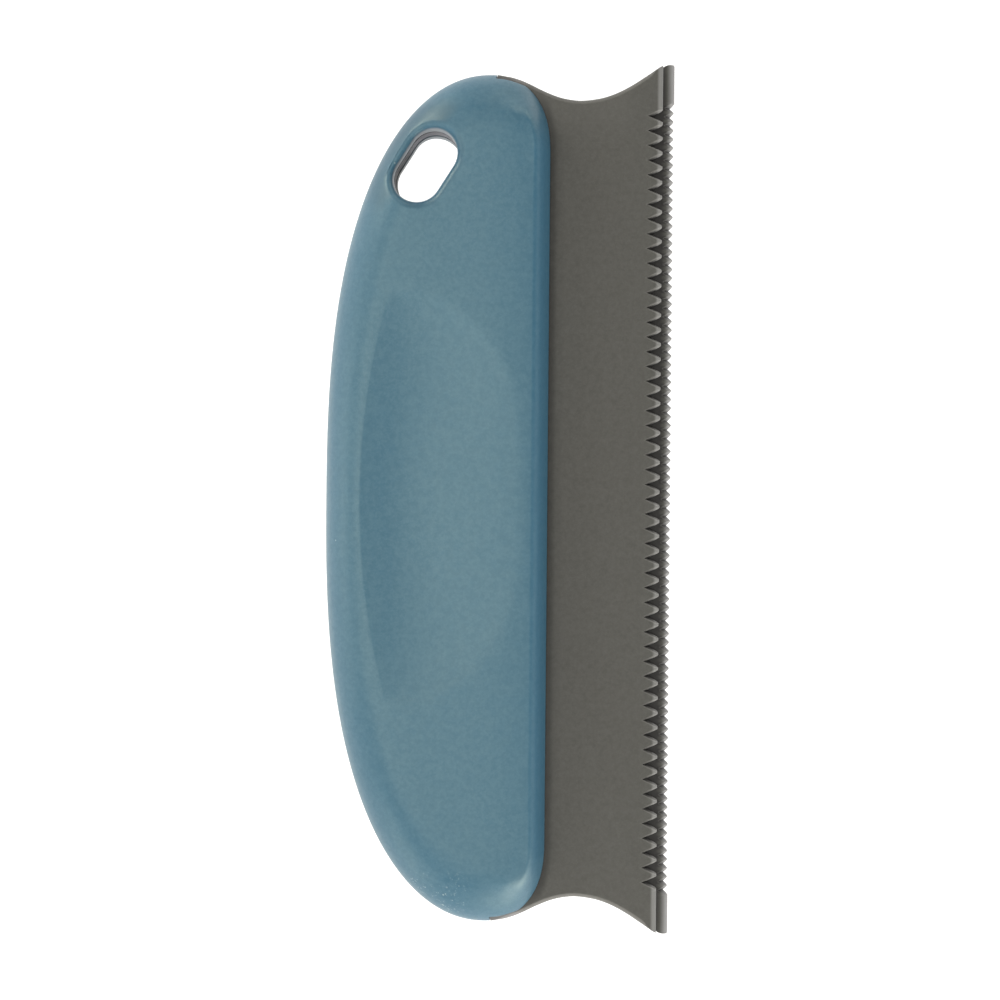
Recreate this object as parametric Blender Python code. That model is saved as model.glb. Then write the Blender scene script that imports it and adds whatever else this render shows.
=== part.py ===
# Pet hair rake: a rigid hand tool made of three mouldings.
# Two handle covers clamp the tang of a flat blade. The blade's free edge is split
# by a V groove into two toothed lips: a coarse front row and a fine rear row.
#
# Frame: metres. The rake lies on its rear cover. +X runs from the handle to the
# teeth, +Y along the rake towards the hang slot, +Z up. The origin is under the
# middle of the rake, on the surface that it lies on.

import math

import bmesh
import bpy
from mathutils import Matrix, Vector
from mathutils.geometry import delaunay_2d_cdt

MM = 0.001

# ---- driving dimensions (millimetres) ----
HALF_THICK = 8.0            # handle face above the mid plane
GAP = 0.3                   # clearance between neighbouring mouldings
WALL = 2.2                  # shell thickness of the covers

X_BACK = -30.9              # palm side of the handle
X_CROWN = -2.2              # where the handle is longest
Y_CROWN = 75.4              # half length of the handle
X_FRONT = 9.1               # straight side of the handle, next to the blade
Y_CORNER = 60.5             # where the rounded corners start
BACK_POWER = (2.05, 2.6)    # squareness of the palm side, in X and in Y
CORNER_POWER = 2.5          # squareness of the front corners

ROUND_BACK = 6.0            # width of the rounding, palm side
ROUND_END = 10.0            # width of the rounding, ends
ROUND_FRONT = 3.2           # width of the rounding, blade side
ROUND_POWER = 1.7           # shape of the rounding near the parting line

DISH_DEPTH = 1.72           # finger recess
DISH_HALF = 36.2
DISH_BACK_X = -24.2
DISH_BACK_SWEEP = 5.1
DISH_FRONT_X = 4.2
DISH_FRONT_SWEEP = 17.0

SLOT_X = -13.2              # hang slot
SLOT_Y = 58.38
SLOT_ANGLE = math.radians(57.5)
SLOT_LENGTH = 13.85
SLOT_WIDTH = 8.7
SLOT_ROUND = (1.25, 1.9)    # rounding of its rim, sideways and down
SLOT_TUBE = 2.2             # wall round the slot
SLOT_LEDGE = 0.3            # the rear wall stops this far short of its seat
SLOT_RELIEF = 0.5           # the blade's slot is this much wider on its rear side

BLADE_HALF = 1.8            # half thickness of the blade
X_STEP = -0.62              # where the blade comes out between the covers
SHOULDER = 1.15             # how far the covers are cut back beside it
BLADE_X = 30.7              # rear lip edge
BLADE_Y = 77.35             # half length of the blade
FRONT_LIP_X = 28.6          # front lip edge
NOSE = 1.0                  # length of the lips' rounded edges
GROOVE_X = 25.3             # bottom of the V groove
GROOVE_HALF = 0.12
LIP_EDGE_Z = 0.72           # inner corner of each lip's rounded edge

COARSE_COUNT = 53
COARSE_PITCH = 2.61
COARSE_ROOT_X = 26.13       # root of a notch, on the front face
COARSE_DEPTH = 2.55
COARSE_SLANT = math.tan(math.radians(33.0))
FINE_COUNT = 91
FINE_PITCH = 1.5475
FINE_ROOT_X = 29.88         # root of a notch, on the rear face
FINE_DEPTH = 1.02
FINE_SLANT = math.tan(math.radians(39.0))

PEG_R = 1.5
PEG_REACH = 5.2             # how far a peg passes the mid plane
SOCKET_R = PEG_R + GAP
BOSS_R = 3.3
PEGS = [(3.0, 53.0), (3.0, 0.0), (3.0, -53.0), (-22.0, 35.0), (-22.0, -35.0), (-13.5, -59.0)]
RIB = 1.3
RIB_Y = [-44.0, -22.0, 22.0, 44.0]

RING = 88                   # points round the handle

# ---- collections ----
for ob in list(bpy.data.objects):
    bpy.data.objects.remove(ob, do_unlink=True)

PARTS = bpy.data.collections.new("pet_hair_rake")
CUTTERS = bpy.data.collections.new("cutters")
bpy.context.scene.collection.children.link(PARTS)
bpy.context.scene.collection.children.link(CUTTERS)


# ---- outlines ----
def resample(points, count):
    """Even spacing along a closed polyline."""
    ring = [Vector(p) for p in points]
    steps = [(ring[(i + 1) % len(ring)] - ring[i]).length for i in range(len(ring))]
    total = sum(steps)
    out, i, walked = [], 0, 0.0
    for k in range(count):
        target = total * k / count
        while walked + steps[i] < target:
            walked += steps[i]
            i += 1
        t = (target - walked) / steps[i]
        out.append(ring[i].lerp(ring[(i + 1) % len(ring)], t))
    return out


def handle_half():
    """Outline of the handle at its parting line, upper half, palm side to blade side."""
    pts = []
    n = 240
    for i in range(n):
        a = 0.5 * math.pi * i / n
        pts.append((X_CROWN + (X_BACK - X_CROWN) * math.cos(a) ** (2.0 / BACK_POWER[0]),
                    Y_CROWN * math.sin(a) ** (2.0 / BACK_POWER[1])))
    for i in range(n + 1):
        a = 0.5 * math.pi * i / n
        pts.append((X_CROWN + (X_FRONT - X_CROWN) * math.sin(a) ** (2.0 / CORNER_POWER),
                    Y_CORNER + (Y_CROWN - Y_CORNER) * math.cos(a) ** (2.0 / CORNER_POWER)))
    return pts


def handle_outline(count):
    """Closed outline, clockwise seen from +Z."""
    half = handle_half()
    mirrored = [(x, -y) for x, y in reversed(half[1:])]
    return resample(half + mirrored, count)


def outward(points, i):
    n = len(points)
    t = points[(i + 1) % n] - points[i - 1]
    return Vector((-t.y, t.x)).normalized()


def smooth(t):
    t = min(max(t, 0.0), 1.0)
    return t * t * (3.0 - 2.0 * t)


def round_width(normal):
    """Width of the rounding for an outline normal: blade side, ends, palm side."""
    a = abs(math.degrees(math.atan2(normal.y, normal.x)))
    if a < 90.0:
        return ROUND_FRONT + (ROUND_END - ROUND_FRONT) * smooth(a / 90.0)
    return ROUND_END + (ROUND_BACK - ROUND_END) * smooth((a - 90.0) / 80.0)


def dish_span(y):
    v = abs(y) / DISH_HALF
    return (DISH_BACK_X + DISH_BACK_SWEEP * v * v,
            DISH_FRONT_X - DISH_FRONT_SWEEP * v ** 4)


def dish(x, y):
    """Depth of the finger recess: a crease on the palm side, a soft rise on the other."""
    v = abs(y) / DISH_HALF
    if v >= 0.9999:
        return 0.0
    lo, hi = dish_span(y)
    if x <= lo or x >= hi:
        return 0.0
    low = lo + (hi - lo) * (0.323 + 0.18 * v ** 2 + 0.06 * v ** 6)
    deep = DISH_DEPTH * (1.0 - v ** 4) ** 0.8
    a = (x - lo) / (low - lo)
    a = deep * a * (1.2 - 0.2 * a)
    b = deep * (hi - x) / (hi - low)
    k = (0.62 + 0.8 * v * v) * deep
    h = min(max(0.5 + 0.5 * (b - a) / k, 0.0), 1.0)
    return max(b + (a - b) * h - k * h * (1.0 - h), 0.0)


# ---- mesh helpers ----
def link(mesh, name, collection):
    ob = bpy.data.objects.new(name, mesh)
    collection.objects.link(ob)
    if collection is CUTTERS:
        ob.hide_render = True
        ob.display_type = 'WIRE'
    return ob


def finish_mesh(bm, name):
    bmesh.ops.remove_doubles(bm, verts=bm.verts, dist=1e-6)
    bmesh.ops.recalc_face_normals(bm, faces=bm.faces)
    for v in bm.verts:
        v.co *= MM
    me = bpy.data.meshes.new(name)
    bm.to_mesh(me)
    bm.free()
    return me


def flat_solid(name, points, z0, z1, collection=CUTTERS, place=None):
    """A closed flat outline, extruded from z0 to z1 (millimetres)."""
    cu = bpy.data.curves.new(name + "_outline", 'CURVE')
    cu.dimensions = '2D'
    cu.fill_mode = 'BOTH'
    cu.extrude = 0.5 * (z1 - z0)
    sp = cu.splines.new('POLY')
    sp.points.add(len(points) - 1)
    for p, q in zip(sp.points, points):
        p.co = (q[0], q[1], 0.0, 1.0)
    sp.use_cyclic_u = True
    tmp = bpy.data.objects.new(name + "_outline", cu)
    CUTTERS.objects.link(tmp)
    bpy.context.view_layer.update()
    dg = bpy.context.evaluated_depsgraph_get()
    me = bpy.data.meshes.new_from_object(tmp.evaluated_get(dg))
    bm = bmesh.new()
    bm.from_mesh(me)
    bpy.data.objects.remove(tmp, do_unlink=True)
    bpy.data.meshes.remove(me)
    bmesh.ops.translate(bm, verts=bm.verts, vec=(0.0, 0.0, 0.5 * (z0 + z1)))
    if place is not None:
        bmesh.ops.transform(bm, matrix=place, verts=bm.verts)
    return link(finish_mesh(bm, name), name, collection)


def cylinder(name, x, y, z0, z1, r, segments=20):
    bpy.ops.mesh.primitive_cylinder_add(vertices=segments, radius=r * MM, depth=(z1 - z0) * MM,
                                        location=(x * MM, y * MM, 0.5 * (z0 + z1) * MM))
    return take(name)


def box(name, x0, x1, y0, y1, z0, z1):
    bpy.ops.mesh.primitive_cube_add(size=MM, location=(0.5 * (x0 + x1) * MM, 0.5 * (y0 + y1) * MM,
                                                       0.5 * (z0 + z1) * MM))
    ob = take(name)
    ob.data.transform(Matrix.Diagonal((x1 - x0, y1 - y0, z1 - z0, 1.0)))
    return ob


def take(name):
    """Move the primitive just added to the cutters."""
    ob = bpy.context.active_object
    ob.name = name
    ob.data.name = name
    for c in list(ob.users_collection):
        c.objects.unlink(ob)
    CUTTERS.objects.link(ob)
    ob.hide_render = True
    ob.display_type = 'WIRE'
    return ob


def boolean(ob, other, operation='DIFFERENCE'):
    m = ob.modifiers.new(other.name, 'BOOLEAN')
    m.operation = operation
    m.solver = 'EXACT'
    m.object = other


def stadium(length, width, grow=0.0, side=1.0, segments=10):
    """Outline of the hang slot, in its place. side is -1 on a part that is made turned over."""
    r = 0.5 * width + grow
    h = 0.5 * (length - width)
    pts = []
    for end in (1.0, -1.0):
        for i in range(segments + 1):
            a = -0.5 * math.pi + math.pi * i / segments
            x, y = end * (h + r * math.cos(a)), end * r * math.sin(a)
            c, s = math.cos(SLOT_ANGLE), math.sin(SLOT_ANGLE)
            pts.append((SLOT_X + x * c - y * s, side * (SLOT_Y + x * s + y * c)))
    return pts


def loft(bm, rings):
    """Quads between neighbouring closed rings."""
    rows = [[bm.verts.new(p) for p in ring] for ring in rings]
    for a, b in zip(rows, rows[1:]):
        for i in range(len(a)):
            j = (i + 1) % len(a)
            bm.faces.new((a[i], a[j], b[j], b[i]))
    return rows


def cap(bm, row, extra, lines, height):
    """Triangulate inside a closed row of vertices, through extra points and lines."""
    flat = [v.co.xy for v in row] + [Vector(p) for p in extra]
    coords, _, faces, origin, _, _ = delaunay_2d_cdt(flat, lines, [list(range(len(row)))], 1, 1e-5)
    verts = []
    for co, src in zip(coords, origin):
        known = [s for s in src if s < len(row)]
        verts.append(row[known[0]] if known else bm.verts.new((co.x, co.y, height(co.x, co.y))))
    for f in faces:
        bm.faces.new([verts[i] for i in f])


def cover_form(name, collection, inset, floor, straight, count, steps, dish_rows, dish_steps):
    """Solid with the handle's outer form, shrunk by inset. Its flat base is at z = floor, and
    its sides are upright up to z = straight."""
    line = handle_outline(count)
    top = HALF_THICK - inset
    rings = [[], []] if floor < 0.0 else [[]]
    rings += [[] for _ in range(steps)]
    for i, p in enumerate(line):
        n = outward(line, i)
        w = max(round_width(n) - 0.8 * inset, 0.9)
        base = p - n * inset
        k = 0
        if floor < 0.0:
            rings[0].append((base.x, base.y, floor))
            k = 1
        for s in range(steps + 1):
            a = 0.5 * math.pi * s / steps
            d = w * (1.0 - math.cos(a))
            z = straight + (top - straight) * math.sin(a) ** (2.0 / ROUND_POWER)
            if s == 0 and floor > 0.0:
                z = floor
                d = w * (1.0 - (1.0 - (floor / top) ** ROUND_POWER) ** 0.5)
            q = base - n * d
            rings[k + s].append((q.x, q.y, z))
    bm = bmesh.new()
    rows = loft(bm, rings)
    bm.faces.new(list(reversed(rows[0])))

    extra, lines = [], []
    start = len(rows[-1])
    for r in range(dish_rows + 1):
        y = DISH_HALF * (2.0 * r / dish_rows - 1.0)
        lo, hi = dish_span(y)
        for c in range(dish_steps + 1):
            u = (c / dish_steps) ** 1.25
            extra.append((lo + (hi - lo) * u, y))
        if r:
            a = start + (r - 1) * (dish_steps + 1)
            b = a + dish_steps + 1
            lines += [(a, b), (a + dish_steps, b + dish_steps)]
    cap(bm, rows[-1], extra, lines, lambda x, y: top - dish(x, y))
    return link(finish_mesh(bm, name), name, collection)


def slot_cutter(name, side):
    """Hang slot with a rounded rim."""
    wide, deep = SLOT_ROUND
    rim = HALF_THICK - 0.2
    levels = [(-12.0, 0.0), (rim - deep, 0.0)]
    for i in range(1, 5):
        a = 0.5 * math.pi * i / 4
        levels.append((rim - deep + deep * math.sin(a), wide * (1.0 - math.cos(a))))
    levels.append((HALF_THICK + 2.0, wide + 1.5))
    bm = bmesh.new()
    rows = loft(bm, [[(x, y, z) for x, y in stadium(SLOT_LENGTH, SLOT_WIDTH, g, side)]
                     for z, g in levels])
    bm.faces.new(list(reversed(rows[0])))
    bm.faces.new(rows[-1])
    return link(finish_mesh(bm, name), name, CUTTERS)


def material(name, colour, roughness, metallic=0.0):
    m = bpy.data.materials.new(name)
    m.use_nodes = True
    b = m.node_tree.nodes["Principled BSDF"]
    b.inputs["Base Color"].default_value = (*colour, 1.0)
    b.inputs["Roughness"].default_value = roughness
    b.inputs["Metallic"].default_value = metallic
    return m


def shade(ob):
    ob.data.shade_smooth()
    ob.data.set_sharp_from_angle(angle=math.radians(35.0))


def shoulder(name, end):
    """Cuts a cover back where the blade comes out, so that the blade's edge shows beside it."""
    pts = [(X_STEP - GAP, end * 80.0)]
    for i in range(10):
        x = X_STEP - GAP + (8.0 - X_STEP + GAP) * i / 9
        u = max(x - X_CROWN, 0.0) / (X_FRONT - X_CROWN)
        y = Y_CORNER + (Y_CROWN - Y_CORNER) * (1.0 - u ** CORNER_POWER) ** (1.0 / CORNER_POWER)
        pts.append((x, end * (y - SHOULDER + 1.5 * smooth((x - 2.0) / 7.0))))
    pts.append((8.0, end * 80.0))
    return flat_solid(name, pts, -3.0, 12.0)


# ---- covers ----
# Both covers are the same shell, made here above the mid plane. The rear one is made with
# its slot at the other end and turned over about the X axis.
def make_cover(name, rear):
    side = -1.0 if rear else 1.0
    seat = BLADE_HALF + GAP
    ob = cover_form(name, PARTS, 0.0, 0.5 * GAP, 0.0, RING, 6, 12, 7)
    shade(ob)
    hollow = cover_form(name + "_hollow", CUTTERS, WALL, -2.0, seat + 0.1, RING, 3, 8, 5)
    tag = name + "_"
    wall = seat + SLOT_LEDGE if rear else seat
    boolean(hollow, flat_solid(tag + "slot_wall", stadium(SLOT_LENGTH, SLOT_WIDTH, SLOT_TUBE, side), wall, 12.0))
    for i, (x, y) in enumerate(PEGS):
        boolean(hollow, cylinder(tag + "boss_%d" % i, x, side * y, seat, 12.0, BOSS_R))
    for i, y in enumerate(RIB_Y):
        boolean(hollow, box(tag + "rib_%d" % i, -40.0, 20.0, y - 0.5 * RIB, y + 0.5 * RIB, seat + 0.4, 12.0))
    boolean(ob, hollow)
    boolean(ob, box(tag + "blade_gap", X_STEP - GAP, 40.0, -90.0, 90.0, -3.0, seat))
    for end in (1.0, -1.0):
        boolean(ob, shoulder(tag + "shoulder_%d" % end, end))
    boolean(ob, slot_cutter(tag + "slot", side))
    for i, (x, y) in enumerate(PEGS):
        if rear:
            boolean(ob, cylinder(tag + "peg_%d" % i, x, side * y, -PEG_REACH, 4.0, PEG_R), 'UNION')
        else:
            boolean(ob, cylinder(tag + "socket_%d" % i, x, y, -3.0, PEG_REACH + GAP, SOCKET_R))
    return ob


front_cover = make_cover("front_cover", False)
rear_cover = make_cover("rear_cover", True)


# ---- blade ----
# Plan of the visible part, from the step at the covers to the end of the teeth.
EDGE = [(-0.5, 75.05), (1.4, 74.9), (3.2, 74.42), (5.0, 73.65), (6.75, 72.77), (8.5, 71.98), (10.1, 71.38),
        (12.0, 70.93), (14.3, 70.72), (17.2, 71.05), (19.4, 71.65), (21.5, 72.55), (23.65, 73.75),
        (25.8, 75.15), (27.9, 76.5)]


def through(points, per):
    """Smooth curve through points."""
    pts = [Vector(p) for p in points]
    out = []
    for i in range(len(pts) - 1):
        a, b = pts[max(i - 1, 0)], pts[i]
        c, d = pts[i + 1], pts[min(i + 2, len(pts) - 1)]
        for k in range(per):
            t = k / per
            m0, m1 = 0.5 * (c - a), 0.5 * (d - b)
            out.append((2 * t**3 - 3 * t**2 + 1) * b + (t**3 - 2 * t**2 + t) * m0
                       + (3 * t**2 - 2 * t**3) * c + (t**3 - t**2) * m1)
    out.append(pts[-1])
    return out


def blade_outline():
    line = handle_outline(RING)
    inset = WALL + GAP
    tang = []
    for i, p in enumerate(line):
        q = p - outward(line, i) * inset
        if q.x < X_STEP - 0.2 and q.y > 0.0:
            tang.append(q)
    tang.sort(key=lambda q: math.atan2(q.y, -(q.x + 3.0)))
    top = tang[-1].y
    upper = [Vector((tang[0].x, 0.0))] + tang + [Vector((X_STEP, top - 0.05))]
    upper += through(EDGE, 2)
    upper += [Vector(p) for p in ((28.6, 76.85), (29.0, 77.1), (29.45, 77.29), (29.85, BLADE_Y),
                                  (30.4, BLADE_Y), (30.62, 77.25), (BLADE_X, 77.0))]
    lower = [Vector((p.x, -p.y)) for p in reversed(upper[1:])]
    return upper + lower


def blade_section():
    """Section across the toothed edge: two lips with rounded edges and a V groove between."""
    pts = [(-40.0, BLADE_HALF), (-40.0, -BLADE_HALF)]
    mid = 0.5 * (BLADE_HALF + LIP_EDGE_Z)
    half = 0.5 * (BLADE_HALF - LIP_EDGE_Z)
    steps = 6
    for i in range(steps + 1):
        a = -0.5 * math.pi + math.pi * i / steps
        pts.append((BLADE_X - NOSE + NOSE * math.cos(a), -mid + half * math.sin(a)))
    pts += [(GROOVE_X, -GROOVE_HALF), (GROOVE_X, GROOVE_HALF)]
    for i in range(steps + 1):
        a = -0.5 * math.pi + math.pi * i / steps
        pts.append((FRONT_LIP_X - NOSE + NOSE * math.cos(a), mid + half * math.sin(a)))
    return pts


def comb_cutter(name, count, pitch, root_x, depth, slant, face_z, z0, z1):
    """Row of V notches. Their roots lean outwards from front to rear by slant."""
    half = 0.5 * pitch * count
    pts = [(40.0, -half), (root_x + depth, -half)]
    for i in range(count):
        y = -half + pitch * (i + 0.5)
        pts += [(root_x, y), (root_x + depth, y + 0.5 * pitch)]
    pts += [(40.0, half)]
    lean = Matrix.Identity(4)
    lean[0][2] = -slant
    lean[0][3] = slant * face_z
    return flat_solid(name, pts, z0, z1, CUTTERS, lean)


section = flat_solid("blade_section", blade_section(), -90.0, 90.0, CUTTERS,
                     Matrix.Rotation(math.radians(90.0), 4, 'X'))
blade = flat_solid("blade", blade_outline(), -4.0, 4.0, PARTS)
boolean(blade, section, 'INTERSECT')
boolean(blade, comb_cutter("coarse_notches", COARSE_COUNT, COARSE_PITCH, COARSE_ROOT_X, COARSE_DEPTH,
                           COARSE_SLANT, BLADE_HALF, 0.0, 4.0))
boolean(blade, comb_cutter("fine_notches", FINE_COUNT, FINE_PITCH, FINE_ROOT_X, FINE_DEPTH,
                           FINE_SLANT, -BLADE_HALF, -4.0, 0.0))
boolean(blade, flat_solid("blade_slot", stadium(SLOT_LENGTH, SLOT_WIDTH), -4.0, 4.0))
boolean(blade, flat_solid("blade_slot_relief", stadium(SLOT_LENGTH, SLOT_WIDTH, SLOT_RELIEF), -4.0, -1.2))
for i, (x, y) in enumerate(PEGS):
    boolean(blade, cylinder("blade_hole_%d" % i, x, y, -4.0, 4.0, SOCKET_R))

# ---- placing ----
# The mid plane lies HALF_THICK above the surface that the rake rests on.
lift = HALF_THICK * MM
empty = bpy.data.objects.new("pet_hair_rake_origin", None)
PARTS.objects.link(empty)


def group_cutters(parent, ob):
    for m in ob.modifiers:
        if m.type == 'BOOLEAN':
            m.object.parent = parent
            group_cutters(parent, m.object)


for ob in (front_cover, rear_cover, blade):
    ob.parent = empty
    group_cutters(ob, ob)
    ob.location.z = lift
rear_cover.rotation_euler.x = math.pi

blue = (0.127, 0.231, 0.283)
grey = (0.112, 0.109, 0.098)
for ob, colour, rough in ((front_cover, blue, 0.55), (rear_cover, blue, 0.55), (blade, grey, 0.75)):
    m = material(ob.name, colour, rough)
    ob.data.materials.clear()
    ob.data.materials.append(m)
    for p in ob.data.polygons:
        p.material_index = 0

bpy.context.view_layer.update()
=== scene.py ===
# Pet hair rake: looks. Two soft-matt covers clamp a dark grey toothed blade.
#
# The three mouldings are made here again at full smoothness, from the same dimensions as the
# CAD solids that they stand for. Shapes are in millimetres, above and below the mid plane of
# the rake, and are moved into the row's frame (metres, resting on z = 0) when finished.
import math

import bmesh
import bpy
import numpy as np
from mathutils import Matrix, Vector
from mathutils.geometry import delaunay_2d_cdt


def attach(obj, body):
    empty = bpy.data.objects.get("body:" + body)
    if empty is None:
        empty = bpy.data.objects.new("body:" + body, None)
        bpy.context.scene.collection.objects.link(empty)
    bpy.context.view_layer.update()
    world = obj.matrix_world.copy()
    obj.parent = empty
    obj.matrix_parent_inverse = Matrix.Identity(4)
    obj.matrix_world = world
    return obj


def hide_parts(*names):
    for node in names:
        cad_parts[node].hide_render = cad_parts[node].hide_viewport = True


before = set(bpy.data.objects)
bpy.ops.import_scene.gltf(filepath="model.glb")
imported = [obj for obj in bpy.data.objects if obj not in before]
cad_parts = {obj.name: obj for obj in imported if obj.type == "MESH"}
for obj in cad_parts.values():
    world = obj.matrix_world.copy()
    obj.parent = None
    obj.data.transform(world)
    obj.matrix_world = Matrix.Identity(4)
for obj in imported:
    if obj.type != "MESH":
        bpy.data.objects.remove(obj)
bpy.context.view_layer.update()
MM = 0.001
MID = 8.0                       # mid plane above the surface, millimetres

# ---- dimensions of the covers ----
HALF_THICK, GAP, WALL = 8.0, 0.3, 2.2
X_BACK, X_CROWN, Y_CROWN = -30.9, -2.2, 75.4
X_FRONT, Y_CORNER = 9.1, 60.5
BACK_POWER, CORNER_POWER = (2.05, 2.6), 2.5
ROUND_BACK, ROUND_END, ROUND_FRONT, ROUND_POWER = 7.0, 11.6, 3.2, (1.25, 1.7)
DISH_DEPTH, DISH_HALF = 1.72, 36.2
DISH_BACK_X, DISH_BACK_SWEEP = -24.2, 5.1
DISH_FRONT_X, DISH_FRONT_SWEEP = 4.2, 17.0
SLOT_X, SLOT_Y, SLOT_ANGLE = -13.2, 58.38, math.radians(57.5)
SLOT_LENGTH, SLOT_WIDTH, SLOT_TUBE = 13.85, 8.7, 2.2
SLOT_ROUND = (1.6, 1.9)
PEG_R, PEG_REACH, BOSS_R = 1.5, 5.2, 3.3
SOCKET_R = PEG_R + GAP
PEGS = [(3.0, 53.0), (3.0, 0.0), (3.0, -53.0), (-22.0, 35.0), (-22.0, -35.0), (-13.5, -59.0)]
RIB, RIB_Y = 1.3, [-44.0, -22.0, 22.0, 44.0]
EDGE_START = 0.15               # half the gap at the parting line
BOW = (-13.0, 165.0, -3.0, 95.0)    # the faces bow a little: start and radius to the palm side, to the blade side
SLOT_LEDGE = (0.45, 0.3)        # how far the front and rear slot walls stop short of their seats

# ---- dimensions of the blade ----
BLADE_HALF, X_STEP = 1.8, -0.62
SHOULDER = 1.15                 # how far the covers are cut back beside the step
BLADE_X, BLADE_Y, FRONT_LIP_X = 30.7, 77.35, 28.6
NOSE, GROOVE_X, GROOVE_HALF, LIP_EDGE_Z = 1.0, 25.3, 0.12, 0.72
EDGE = [(-0.75, 75.07), (1.4, 74.9), (3.2, 74.42), (5.0, 73.65), (6.75, 72.77), (8.5, 71.98), (10.1, 71.38),
        (12.0, 70.93), (14.3, 70.72), (17.2, 71.05), (19.4, 71.65), (21.5, 72.55), (23.65, 73.75),
        (25.8, 75.15), (27.9, 76.5)]
LIP_END = [(28.6, 76.85), (29.0, 77.1), (29.45, 77.29), (29.85, BLADE_Y), (30.4, BLADE_Y), (30.62, 77.25),
           (BLADE_X, 77.0)]
# height and inset of the blade's rounded border
BORDER = [(1.83, 1.15), (1.77, 0.78), (1.66, 0.5), (1.48, 0.28), (1.15, 0.09), (0.7, 0.0)]
# count, pitch, root x on the reference face, depth of a notch, lean, reference face z, tip radius
COARSE = (53, 2.61, 25.92, 2.76, math.tan(math.radians(33.0)), BLADE_HALF, 0.10)
FINE = (91, 1.5475, 29.88, 1.02, math.tan(math.radians(39.0)), -BLADE_HALF, 0.15)


# ---- camera: straight down, a little towards the teeth, as the photo was taken ----
def make_camera():
    aim = Vector((0.245, -0.38, MID)) * MM
    eye = Vector((18.435, -0.38, MID + 377.0)) * MM
    back = (eye - aim).normalized()
    up0 = Vector((0.0, 1.0, 0.0))
    right0 = up0.cross(back).normalized()
    a = math.radians(0.5)
    right = right0 * math.cos(a) + up0 * math.sin(a)
    up = back.cross(right).normalized()
    cam = bpy.data.cameras.new("camera")
    cam.sensor_width = 36.0
    cam.lens = 76.16
    cam.clip_start = 0.01
    cam.clip_end = 20.0
    ob = bpy.data.objects.new("camera", cam)
    m = Matrix((right, up, back)).transposed().to_4x4()
    m.translation = eye
    ob.matrix_world = m
    bpy.context.scene.collection.objects.link(ob)
    bpy.context.scene.camera = ob


# ---- studio ----
WARM = (1.0, 0.985, 0.90)
# elevation, azimuth, watts and width in metres of the softboxes round the rake
SOFTBOXES = [(85, 180, 1.15, 0.4), (62, 120, 1.09, 0.4), (62, 180, 1.58, 0.4), (62, 240, 1.0, 0.4),
             (62, 300, 0.55, 0.4), (38, 180, 0.6, 0.4), (15, 45, 0.76, 0.4), (15, 90, 0.53, 0.4),
             (15, 135, 4.37, 0.4), (15, 180, 1.6, 0.4), (15, 225, 1.72, 0.4), (15, 270, 1.22, 0.4),
             (15, 315, 1.64, 0.4), (15, 300, 2.27, 0.22), (22, 300, 1.44, 0.22), (22, 285, 0.89, 0.22),
             (30, 300, 0.22, 0.22), (22, 60, 0.69, 0.22), (22, 75, 0.65, 0.22), (15, 330, 1.05, 0.22)]


def area_light(name, place, aim, size_x, size_y, watts, colour=WARM):
    li = bpy.data.lights.new(name, 'AREA')
    li.shape = 'RECTANGLE'
    li.size, li.size_y = size_x, size_y
    li.energy = watts
    li.color = colour
    ob = bpy.data.objects.new(name, li)
    d = Vector(aim) - Vector(place)
    ob.rotation_euler = d.to_track_quat('-Z', 'Y').to_euler()
    ob.location = place
    bpy.context.scene.collection.objects.link(ob)
    ob.visible_camera = False
    return ob


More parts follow.
